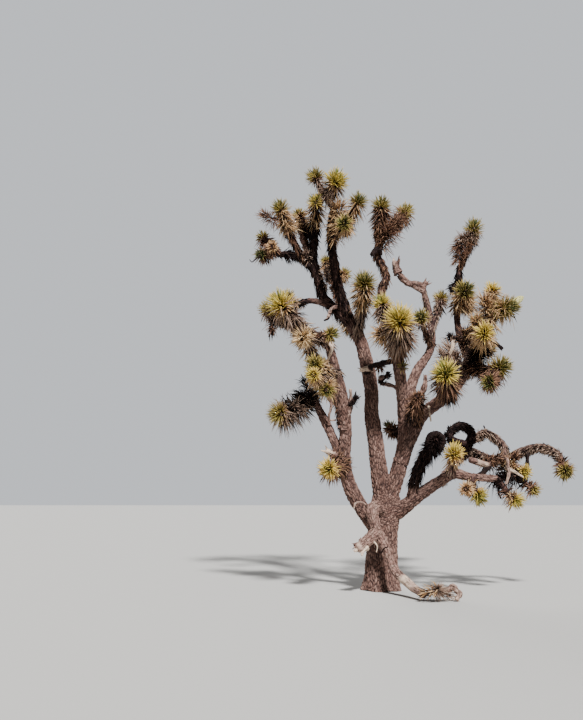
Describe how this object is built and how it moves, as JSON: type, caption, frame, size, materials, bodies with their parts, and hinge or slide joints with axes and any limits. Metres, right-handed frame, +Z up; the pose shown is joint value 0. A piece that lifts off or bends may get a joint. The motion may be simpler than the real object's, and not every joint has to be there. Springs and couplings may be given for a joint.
{
  "type": "joshua tree",
  "caption": "Old branching Joshua tree: short thick trunk, forked boughs that end in bursts of dagger leaves on thatched stems, and a low bough of dead, curled arms.",
  "frame": {"origin": "middle of the flat cut under the trunk, at ground level", "axes": "+Z up along the trunk, +X to the right of the picture, -Y toward its camera"},
  "size_m": [4.8173, 3.6589, 6.6152],
  "materials": {
    "grey_bark": "corky furrowed bark",
    "shaggy_bark": "bark under dead leaves",
    "dead_wood": "weathered dead wood",
    "yellow_leaves": "stiff yellow-green leaves",
    "olive_leaves": "stiff olive leaves",
    "dry_leaves": "dead straw-coloured leaves"
  },
  "bodies": {
    "root": {"trunk": "grey_bark", "left_bough": "grey_bark", "left_low_bough": "grey_bark", "back_left_bough": "shaggy_bark", "middle_bough": "grey_bark", "upper_left_bough": "shaggy_bark", "left_arm": "shaggy_bark", "short_arm": "shaggy_bark", "top_bough": "shaggy_bark", "back_bough": "shaggy_bark", "centre_bough": "grey_bark", "tall_bough": "shaggy_bark", "inner_right_bough": "shaggy_bark", "dead_bough": "dead_wood", "right_bough": "grey_bark", "mast_bough": "shaggy_bark", "outer_right_bough": "shaggy_bark", "low_outer_bough": "shaggy_bark", "back_right_bough": "shaggy_bark", "low_right_bough": "grey_bark", "shaggy_bough": "shaggy_bark", "tangle_bough": "shaggy_bark", "arch_bough": "shaggy_bark", "curl_bough": "shaggy_bark", "far_right_bough": "shaggy_bark", "broken_bough": "dead_wood", "fallen_bough": "dead_wood", "fallen_stub": "dead_wood", "top_heads": "yellow_leaves", "top_right_heads": "olive_leaves", "upper_left_heads": "olive_leaves", "outer_left_head": "olive_leaves", "left_tip_heads": "olive_leaves", "back_left_heads": "olive_leaves", "back_heads": "olive_leaves", "middle_side_head": "olive_leaves", "big_left_heads": "yellow_leaves", "short_arm_head": "olive_leaves", "left_cluster_heads": "olive_leaves", "low_left_head": "olive_leaves", "foot_left_head": "yellow_leaves", "tall_heads": "olive_leaves", "centre_heads": "yellow_leaves", "inner_right_heads": "olive_leaves", "mast_top_head": "olive_leaves", "mast_side_heads": "olive_leaves", "right_crown_heads": "yellow_leaves", "right_front_head": "olive_leaves", "facing_head": "yellow_leaves", "low_outer_heads": "olive_leaves", "back_right_heads": "olive_leaves", "fork_dead_head": "dry_leaves", "inner_hanging_head": "olive_leaves", "saddle_head": "yellow_leaves", "shaggy_droop": "dry_leaves", "under_heads": "olive_leaves", "low_right_head": "olive_leaves", "right_side_heads": "olive_leaves", "far_right_head": "olive_leaves", "fallen_head": "dry_leaves"}
  },
  "joints": []
}
